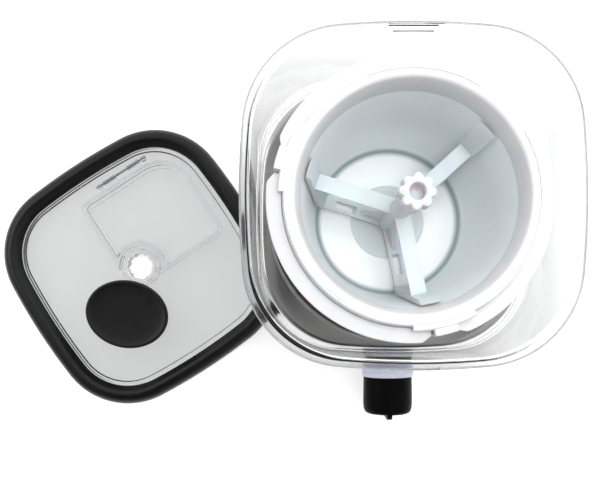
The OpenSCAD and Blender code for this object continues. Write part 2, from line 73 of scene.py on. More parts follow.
CASE_W = 2 * half_width("clear_case")
CASE_TOP = high("clear_case").z
CASE_LOW = low("clear_case").z
CORNER = 0.3                     # corner radius as a share of the width
SKIRT_W = 2 * half_width("steel_skirt")
SKIRT_LOW = low("steel_skirt").z
DECK_Z = high("steel_skirt").z
MOUTH_R = half_width("bowl_liner") - 4 * MM
WALL_LEAN = 8 * MM               # how far the bowl's wall leans in over its height
WALL_FOOT = 12 * MM              # height over the floor where that wall starts
SEAT_Z = high("bowl_liner").z
FLOOR_Z = low("bowl_liner").z + 1.6 * MM
CROWN_Z = high("bowl_rim").z
FLANGE_R = half_width("bowl_flange")
LUG_TURN = math.radians(44)      # direction of the first of three lugs
DASHER_TOP = high("dasher").z
DASHER_LOW = low("dasher").z
BLADE_TURN = math.radians(42)    # direction of the first of three blades
KNOB_AXIS = (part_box("knob_shaft")[0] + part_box("knob_shaft")[1]) / 2
KNOB_R = half_width("knob")
LID_AT = (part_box("lid_frame")[0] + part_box("lid_frame")[1]) / 2
HINGE = next(j for j in frame["joints"] if j["name"] == "flap_open")
LID_TURN = math.atan2(-HINGE["axis"][1], -HINGE["axis"][0])
LID = Matrix.Translation((LID_AT.x, LID_AT.y, 0)) @ Matrix.Rotation(LID_TURN, 4, "Z")
LID_W = 210 * MM                 # width over the soft frame
LID_BAND = 15.6 * MM             # width of that frame's band
FRAME_H = high("lid_frame").z


# ---- outlines ----------------------------------------------------------------------------------
def rounded_square(width, radius, side_steps=SIDE_STEPS, arc_steps=ARC_STEPS):
    """Points round a square with round corners and slightly crowned sides, counter-clockwise."""
    slope = math.tan(CROWN)
    centre = (width / 2 - radius * math.cos(CROWN) - radius * slope * math.sin(CROWN) / 2) / (1 + slope / 2)
    end = centre + radius * math.sin(CROWN)
    quarter = []
    for i in range(side_steps):
        y = end * (2 * i / side_steps - 1)
        quarter.append((width / 2 - slope * y * y / (2 * end), y))
    for i in range(arc_steps):
        a = CROWN + i / arc_steps * (math.pi / 2 - 2 * CROWN)
        quarter.append((centre + radius * math.cos(a), centre + radius * math.sin(a)))
    points = list(quarter)
    for _ in range(3):
        quarter = [(-y, x) for x, y in quarter]
        points += quarter
    return points


def circle_points(radius, steps=TURN_STEPS):
    """Points round a circle, counter-clockwise."""
    return [(radius * math.cos(2 * math.pi * i / steps), radius * math.sin(2 * math.pi * i / steps))
            for i in range(steps)]


def eased(points, reach, steps=5, closed=False):
    """The polyline with each corner turned into a smooth bend that starts up to reach from it."""
    n = len(points)
    out = []
    for i, p in enumerate(points):
        if not closed and i in (0, n - 1):
            out.append(tuple(p[:2]))
            continue
        b = Vector(p[:2])
        r = p[2] if len(p) > 2 else reach
        before, after = Vector(points[i - 1][:2]) - b, Vector(points[(i + 1) % n][:2]) - b
        if r <= 0 or before.length < 1e-9 or after.length < 1e-9:
            out.append(tuple(b))
            continue
        start = b + before.normalized() * min(r, 0.48 * before.length)
        end = b + after.normalized() * min(r, 0.48 * after.length)
        for k in range(steps + 1):
            t = k / steps
            out.append(tuple(start * (1 - t) ** 2 + b * 2 * t * (1 - t) + end * t ** 2))
    return out


# ---- meshes ------------------------------------------------------------------------------------
def make_object(name, mesh):
    obj = bpy.data.objects.new(name, mesh)
    bpy.context.scene.collection.objects.link(obj)
    return obj


def shade(obj, angle=35):
    """Smooth shading, with edges sharper than the angle kept crisp."""
    obj.data.shade_smooth()
    obj.data.set_sharp_from_angle(angle=math.radians(angle))
    return obj


def length_along(points):
    """Distance of each point along the line through them."""
    total, out = 0.0, [0.0]
    for a, b in zip(points, points[1:]):
        total += (Vector(b) - Vector(a)).length
        out.append(total)
    return out


def loft(name, rings, closed=False, caps=(False, False), angle=35):
    """Skin over rings of points. Its map Sweep holds metres round the rings and metres across them."""
    m, n = len(rings), len(rings[0])
    bm = bmesh.new()
    uv = bm.loops.layers.uv.new("Sweep")
    rows = [[bm.verts.new(p) for p in ring] for ring in rings]
    around = [length_along(list(r) + [r[0]]) for r in rings]
    across = length_along([r[0] for r in rings] + ([rings[0][0]] if closed else []))
    for i in range(m if closed else m - 1):
        k = (i + 1) % m
        for j in range(n):
            q = (j + 1) % n
            face = bm.faces.new((rows[i][j], rows[i][q], rows[k][q], rows[k][j]))
            corners = ((around[i][j], across[i]), (around[i][j + 1], across[i]),
                       (around[k][j + 1], across[i + 1]), (around[k][j], across[i + 1]))
            for loop, c in zip(face.loops, corners):
                loop[uv].uv = c
    for row, wanted in zip((rows[0], rows[-1]), caps):
        if wanted:
            face = bm.faces.new(row)
            for loop in face.loops:
                loop[uv].uv = loop.vert.co.xy
    bmesh.ops.remove_doubles(bm, verts=bm.verts, dist=1e-7)
    bmesh.ops.recalc_face_normals(bm, faces=bm.faces)
    mesh = bpy.data.meshes.new(name)
    bm.to_mesh(mesh)
    bm.free()
    return shade(make_object(name, mesh), angle)


def lathe(name, profile, closed=False, steps=TURN_STEPS, angle=35):
    """Piece turned about Z from (radius, height) points."""
    rings = [[(x, y, z) for x, y in circle_points(max(r, 0), steps)] for r, z in profile]
    return loft(name, rings, closed=closed, angle=angle)


def square_rings(sections):
    """Rings of rounded squares from (width, corner radius, height)."""
    return [[(x, y, z) for x, y in rounded_square(w, r)] for w, r, z in sections]


def square_sweep(name, profile, corner_of, closed=True, caps=(False, False), angle=35):
    """Rounded-square ring from a (half width, height) profile; corner_of(half width) is a corner radius."""
    sections = [(2 * h, corner_of(h), z) for h, z in profile]
    return loft(name, square_rings(sections), closed=closed, caps=caps, angle=angle)


def prism(name, points, z0, z1):
    """Straight solid over an outline."""
    return loft(name, [[(x, y, z) for x, y in points] for z in (z0, z1)], caps=(True, True))


def block(name, lo, hi):
    return prism(name, [(lo[0], lo[1]), (hi[0], lo[1]), (hi[0], hi[1]), (lo[0], hi[1])], lo[2], hi[2])


def settle(obj):
    """Applies the modifiers to the mesh."""
    bpy.context.view_layer.update()
    depsgraph = bpy.context.evaluated_depsgraph_get()
    mesh = bpy.data.meshes.new_from_object(obj.evaluated_get(depsgraph))
    obj.modifiers.clear()
    old, obj.data = obj.data, mesh
    bpy.data.meshes.remove(old)
    return obj


def combine(target, others, operation):
    """Joins, or cuts away, the other solids, and removes them."""
    for other in others:
        m = target.modifiers.new("combine", "BOOLEAN")
        m.object, m.operation, m.solver = other, operation, "EXACT"
    settle(target)
    for other in others:
        bpy.data.objects.remove(other)
    return target


def merged(name, objs):
    """One object that holds all the meshes, as they stand."""
    bm = bmesh.new()
    for o in objs:
        o.data.transform(o.matrix_world)
        bm.from_mesh(o.data)
    mesh = bpy.data.meshes.new(name)
    bm.to_mesh(mesh)
    bm.free()
    for o in objs:
        bpy.data.objects.remove(o)
    return shade(make_object(name, mesh))


def moved(obj, matrix):
    """The object, with its mesh moved."""
    obj.data.transform(matrix)
    obj.data.update()
    return obj


def ease(obj, width, segments=2, angle=30):
    """Rounds the sharp edges."""
    m = obj.modifiers.new("ease", "BEVEL")
    m.width, m.segments, m.limit_method = width, segments, "ANGLE"
    m.angle_limit = math.radians(angle)
    m.harden_normals = True
    m.use_clamp_overlap = True
    return obj


def place(piece, node, material):
    """The piece stands for the node, rides on its body and takes the given material."""
    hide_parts(node)
    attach(piece, BODY_OF[node])
    piece.data.materials.clear()
    piece.data.materials.append(material)
    return piece


# ---- materials ---------------------------------------------------------------------------------
def new_material(name):
    mat = bpy.data.materials.new(name)
    mat.use_nodes = True
    nt = mat.node_tree
    return mat, nt, nt.nodes["Principled BSDF"]


def link(nt, a, b):
    nt.links.new(a, b)


def coordinates(nt, source="Object", scale=(1, 1, 1)):
    """Texture coordinates, stretched: Object is the frame in metres, Sweep the map that loft() makes."""
    mapping = nt.nodes.new("ShaderNodeMapping")
    mapping.inputs["Scale"].default_value = scale
    if source == "Sweep":
        uv = nt.nodes.new("ShaderNodeUVMap")
        uv.uv_map = "Sweep"
        link(nt, uv.outputs["UV"], mapping.inputs["Vector"])
    else:
        tc = nt.nodes.new("ShaderNodeTexCoord")
        link(nt, tc.outputs[source], mapping.inputs["Vector"])
    return mapping.outputs["Vector"]


def noise(nt, vector, size, detail=3, rough=0.55):
    """Noise whose features are about size metres across."""
    n = nt.nodes.new("ShaderNodeTexNoise")
    n.inputs["Scale"].default_value = 1 / size
    n.inputs["Detail"].default_value = detail
    n.inputs["Roughness"].default_value = rough
    link(nt, vector, n.inputs["Vector"])
    return n.outputs["Fac"]


def spread(nt, value, lo, hi, src=(0.3, 0.7)):
    """The value mapped to lo..hi."""
    n = nt.nodes.new("ShaderNodeMapRange")
    n.inputs["From Min"].default_value, n.inputs["From Max"].default_value = src
    n.inputs["To Min"].default_value, n.inputs["To Max"].default_value = lo, hi
    link(nt, value, n.inputs["Value"])
    return n.outputs["Result"]


def tones(nt, value, first, second, src=(0.3, 0.7)):
    """A colour between two, by the value."""
    ramp = nt.nodes.new("ShaderNodeValToRGB")
    for e, at, c in zip(ramp.color_ramp.elements, src, (first, second)):
        e.position, e.color = at, (*c, 1)
    link(nt, value, ramp.inputs["Fac"])
    return ramp.outputs["Color"]


def bump(nt, height, depth, strength=1.0, onto=None):
    b = nt.nodes.new("ShaderNodeBump")
    b.inputs["Distance"].default_value = depth
    b.inputs["Strength"].default_value = strength
    link(nt, height, b.inputs["Height"])
    if onto is not None:
        link(nt, onto, b.inputs["Normal"])
    return b.outputs["Normal"]


def shaded(colour, share):
    return tuple(c * share for c in colour)


def moulded(name, colour, rough, grain=0.35 * MM, depth=0.02 * MM, vary=0.04, **sockets):
    """Moulded plastic or rubber: fine grain, soft patches of gloss and slightly uneven colour."""
    mat, nt, p = new_material(name)
    at = coordinates(nt)
    patches = noise(nt, at, 18 * MM, 4)
    link(nt, tones(nt, patches, shaded(colour, 1 - vary), colour), p.inputs["Base Color"])
    link(nt, spread(nt, noise(nt, at, 5 * MM, 5), rough - 0.05, rough + 0.06), p.inputs["Roughness"])
    link(nt, bump(nt, noise(nt, at, grain, 2), depth), p.inputs["Normal"])
    for key, value in sockets.items():
        p.inputs[key.replace("_", " ").title().replace("Ior", "IOR")].default_value = value
    return mat


def metal(name, colour, rough, streak=(1, 1, 60), size=1.2 * MM, depth=0.01 * MM, vary=0.12,
          source="Object", metallic=1.0):
    """Bare metal with fine marks drawn out along one direction."""
    mat, nt, p = new_material(name)
    marks = noise(nt, coordinates(nt, source, streak), size, 6, 0.62)
    stains = noise(nt, coordinates(nt, source), 14 * MM, 3)
    link(nt, tones(nt, marks, shaded(colour, 1 - vary), colour), p.inputs["Base Color"])
    rough_now = nt.nodes.new("ShaderNodeMath")
    rough_now.operation = "ADD"
    link(nt, spread(nt, marks, rough - 0.06, rough + 0.07), rough_now.inputs[0])
    link(nt, spread(nt, stains, -0.02, 0.03), rough_now.inputs[1])
    link(nt, rough_now.outputs[0], p.inputs["Roughness"])
    link(nt, bump(nt, marks, depth), p.inputs["Normal"])
    p.inputs["Metallic"].default_value = metallic
    return mat


def clear(name, tint, rough=0.03, ior=1.47, wave=0.012 * MM):
    """Clear moulded plastic: slight flow waves and hairline scuffs."""
    mat, nt, p = new_material(name)
    at = coordinates(nt)
    waves = bump(nt, noise(nt, at, 45 * MM, 1), wave, 0.5)
    scuffs = noise(nt, coordinates(nt, "Object", (1, 1, 0.06)), 0.8 * MM, 3)
    link(nt, bump(nt, scuffs, wave * 0.004, 0.4, onto=waves), p.inputs["Normal"])
    p.inputs["Base Color"].default_value = (*tint, 1)
    p.inputs["Roughness"].default_value = rough
    p.inputs["IOR"].default_value = ior
    p.inputs["Transmission Weight"].default_value = 1.0
    return mat


def brushed(name, colour, rough):
    """Sheet steel brushed along its sweep: streaks of several widths, with directional gloss."""
    mat, nt, p = new_material(name)
    fine = noise(nt, coordinates(nt, "Sweep", (0.02, 1, 1)), 0.35 * MM, 5, 0.65)
    broad = noise(nt, coordinates(nt, "Sweep", (0.01, 1, 1)), 1.6 * MM, 4, 0.6)
    link(nt, tones(nt, fine, shaded(colour, 0.86), colour), p.inputs["Base Color"])
    link(nt, spread(nt, fine, rough - 0.05, rough + 0.08), p.inputs["Roughness"])
    under = bump(nt, broad, 0.004 * MM, 0.5)
    link(nt, bump(nt, fine, 0.001 * MM, 0.5, onto=under), p.inputs["Normal"])
    p.inputs["Metallic"].default_value = 1.0
    p.inputs["Anisotropic"].default_value = 0.6
    tangent = nt.nodes.new("ShaderNodeTangent")
    tangent.direction_type, tangent.uv_map = "UV_MAP", "Sweep"
    link(nt, tangent.outputs["Tangent"], p.inputs["Tangent"])
    return mat


def turned_cup(name, colour, rough):
    """Satin cup metal, with painted shade darkening the corner between the floor and the wall."""
    mat = metal(name, colour, rough, streak=(0.02, 1, 1), size=0.5 * MM, depth=0.004 * MM, vary=0.05,
                source="Sweep",
                metallic=0.3)
    nt = mat.node_tree
    p = nt.nodes["Principled BSDF"]
    height = nt.nodes.new("ShaderNodeSeparateXYZ")
    link(nt, nt.nodes.new("ShaderNodeTexCoord").outputs["Object"], height.inputs[0])
    rise = spread(nt, height.outputs["Z"], 0, 1, (FLOOR_Z + 0.2 * MM, FLOOR_Z + 2.2 * MM))
    fall = spread(nt, height.outputs["Z"], 1, 0, (FLOOR_Z + 3.5 * MM, FLOOR_Z + 8 * MM))
    # Painted shade: the base colour is multiplied darker in a band just above the floor, in the corner between the
    # floor and the wall.
    corner = nt.nodes.new("ShaderNodeMath")
    corner.operation = "MULTIPLY"
    link(nt, rise, corner.inputs[0])
    link(nt, fall, corner.inputs[1])
    painted_corner_shade = nt.nodes.new("ShaderNodeMix")
    painted_corner_shade.data_type, painted_corner_shade.blend_type = "RGBA", "MULTIPLY"
    link(nt, corner.outputs[0], painted_corner_shade.inputs["Factor"])
    link(nt, p.inputs["Base Color"].links[0].from_socket, painted_corner_shade.inputs["A"])
    painted_corner_shade.inputs["B"].default_value = (0.36, 0.43, 0.44, 1)
    link(nt, painted_corner_shade.outputs["Result"], p.inputs["Base Color"])
    return mat


MAT = {
    "clear_plastic": clear("clear_plastic", (0.973, 0.977, 0.982), rough=0.01),
    "brushed_steel": brushed("brushed_steel", (0.76, 0.757, 0.75), 0.13),
    "white_plastic": moulded("white_plastic", (0.69, 0.69, 0.705), 0.36, subsurface_weight=0.3,
                             subsurface_scale=0.006),
    "milky_plastic": moulded("milky_plastic", (0.83, 0.85, 0.875), 0.36, subsurface_weight=0.6,
                             subsurface_scale=0.01, transmission_weight=0.3),
    "soft_black": moulded("soft_black", (0.0045, 0.0045, 0.005), 0.32, grain=0.25 * MM, depth=0.02 * MM,
                          vary=0.2,
                          specular_ior_level=0.42),
    "black_knob": moulded("black_knob", (0.003, 0.003, 0.003), 0.36, vary=0.2, specular_ior_level=0.04),
    "pale_collar": moulded("pale_collar", (0.66, 0.68, 0.82), 0.4),
    "rubber_feet": moulded("rubber_feet", (0.03, 0.03, 0.032), 0.62, grain=0.5 * MM, depth=0.05 * MM,
                           vary=0.25),
    "black_plastic": moulded("black_plastic", (0.02, 0.02, 0.022), 0.45, grain=0.6 * MM, depth=0.05 * MM,
                             vary=0.2),
    "dark_plastic": moulded("dark_plastic", (0.06, 0.062, 0.066), 0.45, grain=0.6 * MM, depth=0.05 * MM,
                            vary=0.15),
    "gear_plastic": moulded("gear_plastic", (0.78, 0.76, 0.70), 0.4, subsurface_weight=0.1,
                            subsurface_scale=0.002),
    "coolant": moulded("coolant", (0.55, 0.68, 0.78), 0.3),
    "zinc": metal("zinc", (0.62, 0.63, 0.66), 0.32, streak=(1, 1, 1), size=4 * MM),
    "motor_can": metal("motor_can", (0.55, 0.56, 0.58), 0.3, streak=(1, 1, 12)),
    "brass": metal("brass", (0.72, 0.56, 0.27), 0.28, streak=(1, 1, 30)),
    "liner": turned_cup("liner", (0.93, 0.965, 0.975), 0.36),
}


# ---- case and base -----------------------------------------------------------------------------
def build_clear_case():
    """Clear wall with a rolled rim, a stepped recess in front and two latch slots behind."""
    wall = 2.6 * MM
    foot = SKIRT_W / 2 - 5.95 * MM
    rim = CASE_W / 2
    top_half = rim - 3.5 * MM
    profile = eased([
        (foot, CASE_LOW), (top_half, CASE_TOP - 7 * MM, 0.6 * MM), (rim - 0.9 * MM, CASE_TOP - 6.4 * MM,
                                                                    0.7 * MM),
        (rim, CASE_TOP - 5 * MM, 1 * MM), (rim - 0.2 * MM, CASE_TOP - 1 * MM, 1.2 * MM),
        (rim - 1.2 * MM, CASE_TOP, 1 * MM), (rim - 5.0 * MM, CASE_TOP, 1 * MM),
        (top_half - wall, CASE_TOP - 1.6 * MM, 1.2 * MM), (foot - wall, CASE_LOW),
    ], 0.6 * MM)
    case = square_sweep("clear_case_wall", profile, lambda h: 2 * h * CORNER + (rim - h) * 0.25)
    recess = block("recess", (-15 * MM, -rim - 1 * MM, CASE_TOP - 2 * MM),
                   (15 * MM, -rim + 2.2 * MM, CASE_TOP + 2 * MM))
    slots = [block("slot", (-half, back - 0.9 * MM, CASE_TOP - 3 * MM), (half, back, CASE_TOP + 2 * MM))
             for half, back in ((14.6 * MM, rim - 2.4 * MM), (12 * MM, rim - 5.6 * MM))]
    combine(case, [recess] + slots, "DIFFERENCE")
    shade(case, 30)
    place(case, "clear_case", MAT["clear_plastic"])


def skirt_half(z):
    """Half width of the flared steel side at a height."""
    return SKIRT_W / 2 - (z - SKIRT_LOW) * 9 / 88


def build_skirt():
    """Brushed sheet: hemmed lower edge, flared side, round shoulder, rolled edge round the bowl."""
    opening = 90 * MM
    sheet = 0.9 * MM
    outer, inner = [], []

    def section(half, corner, z, out, up):
        outer.append((2 * half, corner, z))
        inner.append((2 * (half - sheet * out), corner - sheet * out, z - sheet * up))
    side_top = DECK_Z - 3.2 * MM
    for i in range(9):
        z = SKIRT_LOW + (side_top - SKIRT_LOW) * i / 8
        h = skirt_half(z)
        section(h, 2 * h * (CORNER + 0.03 * i / 8), z, 1, 0)
    side, corner = skirt_half(side_top), outer[-1][1]
    for i in range(1, 9):
        a = math.pi / 2 * i / 8.2
        section(side - 2.6 * MM * (1 - math.cos(a)), corner + 1.5 * MM * i / 8,
                side_top + 3 * MM * math.sin(a), math.cos(a), math.sin(a))
    h, corner, z = outer[-1][0] / 2, outer[-1][1], outer[-1][2]
    for i in range(1, 7):
        t = i / 6
        section(h + (opening - h) * t, corner + (opening - corner) * t, z + (DECK_Z - z) * t, 0, 1)
    section(opening - 0.5 * MM, opening - 0.5 * MM, DECK_Z - 0.15 * MM, 0, 0.6)
    outer, inner = square_rings(outer), square_rings(inner)
    skirt = loft("skirt_sheet", outer + inner[::-1], closed=True)
    holes = []
    for node, radius, y in (("knob_shaft", 5 * MM, -1), ("cord_gland", 6.2 * MM, 1)):
        a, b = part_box(node)
        hole = prism("hole", circle_points(radius, 48), -12 * MM, 12 * MM)
        turn = Matrix.Rotation(math.pi / 2, 4, "X")
        at = Matrix.Translation(((a.x + b.x) / 2, y * skirt_half((a.z + b.z) / 2), (a.z + b.z) / 2))
        holes.append(moved(hole, at @ turn))
    combine(skirt, holes, "DIFFERENCE")
    shade(skirt, 40)
    place(skirt, "steel_skirt", MAT["brushed_steel"])


def build_feet():
    """Five rubber pads with a round edge and a shallow ring groove."""
    top = high("feet").z
    pads = []
    corner_at = half_width("feet") - 9 * MM
    outer_pads = [(i * corner_at, j * corner_at, 9 * MM) for i in (-1, 1) for j in (-1, 1)]
    for x, y, r in [(0, 0, 16 * MM)] + outer_pads:
        profile = eased([
            (0, 0.5 * MM), (r * 0.55, 0.5 * MM), (r * 0.6, 0), (r - 0.3 * MM, 0, 1 * MM),
            (r, top * 0.6, 0.8 * MM), (r - 0.4 * MM, top, 0.3 * MM), (0, top)
        ], 0.3 * MM)
        pads.append(moved(lathe("pad", profile, steps=64), Matrix.Translation((x, y, 0))))
    place(merged("foot_pads", pads), "feet", MAT["rubber_feet"])


# ---- bowl --------------------------------------------------------------------------------------
def sector_ring(name, profile_at, start, stop, steps):
    """Solid swept round Z between two directions; profile_at gives its closed (radius, height) outline."""
    rings = []
    for i in range(steps + 1):
        a = start + (stop - start) * i / steps
        rings.append([(r * math.cos(a), r * math.sin(a), z) for r, z in profile_at(i / steps)])
    return loft(name, rings, caps=(True, True), angle=40)


def build_liner():
    """Satin metal cup: steep wall, round corner, floor turned with rings, low boss."""
    wall = 1.6 * MM
    low_r = MOUTH_R - WALL_LEAN
    floor_r = MOUTH_R - 11 * MM
    rings = []
    for i in range(10):
        r = (31 + 2.1 * i) * MM
        rings += [(r, FLOOR_Z, 0.3 * MM), (r + 0.5 * MM, FLOOR_Z + 0.12 * MM, 0.3 * MM),
                  (r + 1.1 * MM, FLOOR_Z, 0.3 * MM)]
    boss_rings = []
    for i in range(9):
        r = (3 + 2.6 * i) * MM
        top = FLOOR_Z + 1.2 * MM
        boss_rings += [(r, top, 0.3 * MM), (r + 0.5 * MM, top + 0.08 * MM, 0.3 * MM),
                       (r + 1.0 * MM, top, 0.3 * MM)]
    inside = eased([
        (0, FLOOR_Z + 1.2 * MM), *boss_rings, (27.6 * MM, FLOOR_Z + 1.2 * MM, 0.5 * MM),
        (28.8 * MM, FLOOR_Z, 0.6 * MM), *[q for q in rings if q[0] < floor_r - 4.5 * MM],
        (floor_r - 3.4 * MM, FLOOR_Z, 1.5 * MM), (floor_r, FLOOR_Z + 2.2 * MM, 2 * MM),
        (low_r - 0.9 * MM, FLOOR_Z + 7 * MM, 3 * MM), (low_r, FLOOR_Z + 13 * MM, 4 * MM),
        (MOUTH_R, SEAT_Z, 0.8 * MM), (MOUTH_R + 4 * MM, SEAT_Z, 0.3 * MM)
    ], 0.4 * MM, steps=4)
    outside = [
        (MOUTH_R + 4 * MM, SEAT_Z - wall), (MOUTH_R + wall, SEAT_Z - wall),
        (low_r + wall, FLOOR_Z + 12 * MM), (low_r + 0.4 * MM, FLOOR_Z + 5 * MM),
        (floor_r, FLOOR_Z - 0.4 * MM),
        (floor_r - 4 * MM, FLOOR_Z - wall), (0, FLOOR_Z - wall)
    ]
    cup = lathe("liner_cup", inside + outside, steps=180)
    place(cup, "bowl_liner", MAT["liner"])


def build_flange():
    """Ring of three sectors with chamfered ends, parted where the rim's lugs stand out."""
    inner, outer = 77.6 * MM, FLANGE_R
    gap = math.radians(5.5)
    sectors = []
    for i in range(3):
        start = LUG_TURN + math.radians(120 * i) + gap
        stop = start + math.radians(120) - 2 * gap

        def outline(t):
            near = min(t, 1 - t) * (stop - start) * outer
            reach = outer - max(0.0, 3.6 * MM - near * 0.62)
            return eased([
                (81.6 * MM, SEAT_Z - 5 * MM, 0.3 * MM), (83.6 * MM, SEAT_Z - 5 * MM, 0.5 * MM),
                (83.6 * MM, SEAT_Z + 2 * MM, 0.6 * MM), (reach - 0.3 * MM, SEAT_Z + 2 * MM, 0.5 * MM),
                (reach, SEAT_Z + 7 * MM, 1.1 * MM), (inner + 2 * MM, SEAT_Z + 7.2 * MM, 1.2 * MM),
                (inner, SEAT_Z + 8.4 * MM, 0.3 * MM), (inner, SEAT_Z + 2 * MM, 0.3 * MM),
                (81.6 * MM, SEAT_Z + 2 * MM, 0.3 * MM)
            ], 0.5 * MM, steps=3, closed=True)
        sectors.append(sector_ring("sector", outline, start, stop, 90))
    place(merged("flange_sectors", sectors), "bowl_flange", MAT["white_plastic"])


def build_rim():
    """Flat-topped white rim: rounded edges, funnel inside, three stepped lugs, a groove between them."""
    ring = lathe("rim_ring", eased([
        (MOUTH_R, SEAT_Z + 0.2 * MM, 0.2 * MM), (81 * MM, SEAT_Z + 0.2 * MM, 0.3 * MM),
        (81 * MM, SEAT_Z + 1.7 * MM, 0.3 * MM), (77.3 * MM, SEAT_Z + 1.7 * MM, 0.3 * MM),
        (77.3 * MM, SEAT_Z + 8 * MM, 0.5 * MM), (76.4 * MM, CROWN_Z - 2 * MM, 2 * MM),
        (75.6 * MM, CROWN_Z, 1.4 * MM), (69.8 * MM, CROWN_Z, 2.8 * MM),
        (67.7 * MM, CROWN_Z - 7 * MM, 4 * MM), (66.5 * MM, CROWN_Z - 14 * MM, 2.5 * MM),
        (MOUTH_R, SEAT_Z + 2 * MM, 1 * MM)
    ], 0.5 * MM, steps=7, closed=True), closed=True, steps=200)
    lugs, grooves = [], []
    for i in range(3):
        turn = LUG_TURN + math.radians(120 * i)
        for half, reach, drop in ((14, 79.2, 0.5), (4.8, 83.4, 1.3)):
            def outline(_, reach=reach, drop=drop):
                return eased([
                    (74 * MM, SEAT_Z + 8 * MM), (reach * MM, SEAT_Z + 9.5 * MM),
                    (reach * MM, CROWN_Z - drop * MM, 1.6 * MM), (74 * MM, CROWN_Z - drop * MM)
                ], 0.4 * MM, steps=5, closed=True)
            a = math.radians(half)
            lugs.append(sector_ring("lug", outline, turn - a, turn + a, 20 if half > 10 else 8))
        arc = [(73.6 * MM, CROWN_Z - 0.9 * MM), (74.5 * MM, CROWN_Z - 0.9 * MM),
               (74.5 * MM, CROWN_Z + 2 * MM), (73.6 * MM, CROWN_Z + 2 * MM)]
        a = math.radians(14.3)
        grooves.append(sector_ring("groove", lambda _: arc, turn + a, turn + math.radians(120) - a, 80))
    combine(ring, lugs, "UNION")
    combine(ring, grooves, "DIFFERENCE")
    shade(ring, 32)
    place(ring, "bowl_rim", MAT["white_plastic"])


# ---- dasher ------------------------------------------------------------------------------------
def lobed_points(inset, steps=192):
    """Outline of the head: eight round lobes on a smaller circle."""
    core, lobe_at, lobe_r = 8.6 * MM - inset, 8.1 * MM, 2.8 * MM - inset
    points = []
    for i in range(steps):
        a = 2 * math.pi * i / steps
        off = (a - BLADE_TURN + math.pi / 8) % (math.pi / 4) - math.pi / 8
        inside = lobe_r ** 2 - (lobe_at * math.sin(off)) ** 2
        lobe = lobe_at * math.cos(off) + math.sqrt(max(inside, 0)) if inside > 0 else 0
        r = max(core, lobe)
        points.append((r * math.cos(a), r * math.sin(a)))
    for _ in range(3):
        points = [tuple((Vector(points[i - 1]) + 2 * Vector(points[i]) + Vector(points[(i + 1) % steps])) / 4)
                  for i in range(steps)]
    return points


def build_dasher():
    """Paddle: lobed head on a post, three blades with a top bar, a scraper and a windowed lower bar."""
    head = loft("dasher_paddle", [
        [(x, y, z) for x, y in lobed_points(inset)]
        for inset, z in ((1.2 * MM, DASHER_TOP - 17 * MM), (0.3 * MM, DASHER_TOP - 16.6 * MM),
                         (0, DASHER_TOP - 15.6 * MM), (0, DASHER_TOP - 1.4 * MM),
                         (0.3 * MM, DASHER_TOP - 0.5 * MM), (1.0 * MM, DASHER_TOP))
    ], caps=(True, True))
    post = lathe("post", eased([
        (0, DASHER_LOW), (6.4 * MM, DASHER_LOW), (7 * MM, DASHER_LOW + 0.8 * MM),
        (7 * MM, DASHER_TOP - 22 * MM, 2 * MM), (8.4 * MM, DASHER_TOP - 17 * MM),
        (8.2 * MM, DASHER_TOP - 14.5 * MM), (0, DASHER_TOP - 14.5 * MM)
    ], 0.4 * MM), steps=96)
    solids = [post]
    for i in range(3):
        solids += blade_solids(Matrix.Rotation(BLADE_TURN + math.radians(120 * i), 4, "Z"))
    combine(head, solids, "UNION")
    bore = lathe("bore", eased([
        (0, DASHER_TOP - 14 * MM), (4.7 * MM, DASHER_TOP - 14 * MM),
        (4.7 * MM, DASHER_TOP - 0.9 * MM, 0.5 * MM),
        (5.8 * MM, DASHER_TOP + 0.4 * MM), (0, DASHER_TOP + 0.4 * MM)
    ], 0.1 * MM), steps=72)
    combine(head, [bore], "DIFFERENCE")
    shade(head, 35)
    ease(head, 0.5 * MM, 2, 40)
    place(head, "dasher", MAT["milky_plastic"])


def upright(name, points, thickness):
    """Plate standing in the XZ plane, from (x, z) points."""
    plate = prism(name, points, -thickness / 2, thickness / 2)
    return moved(plate, Matrix.Rotation(math.pi / 2, 4, "X"))


def wall_radius(z):
    """Radius of the liner's wall at a height."""
    return MOUTH_R - WALL_LEAN + (z - FLOOR_Z - WALL_FOOT) * WALL_LEAN / (SEAT_Z - FLOOR_Z - WALL_FOOT)


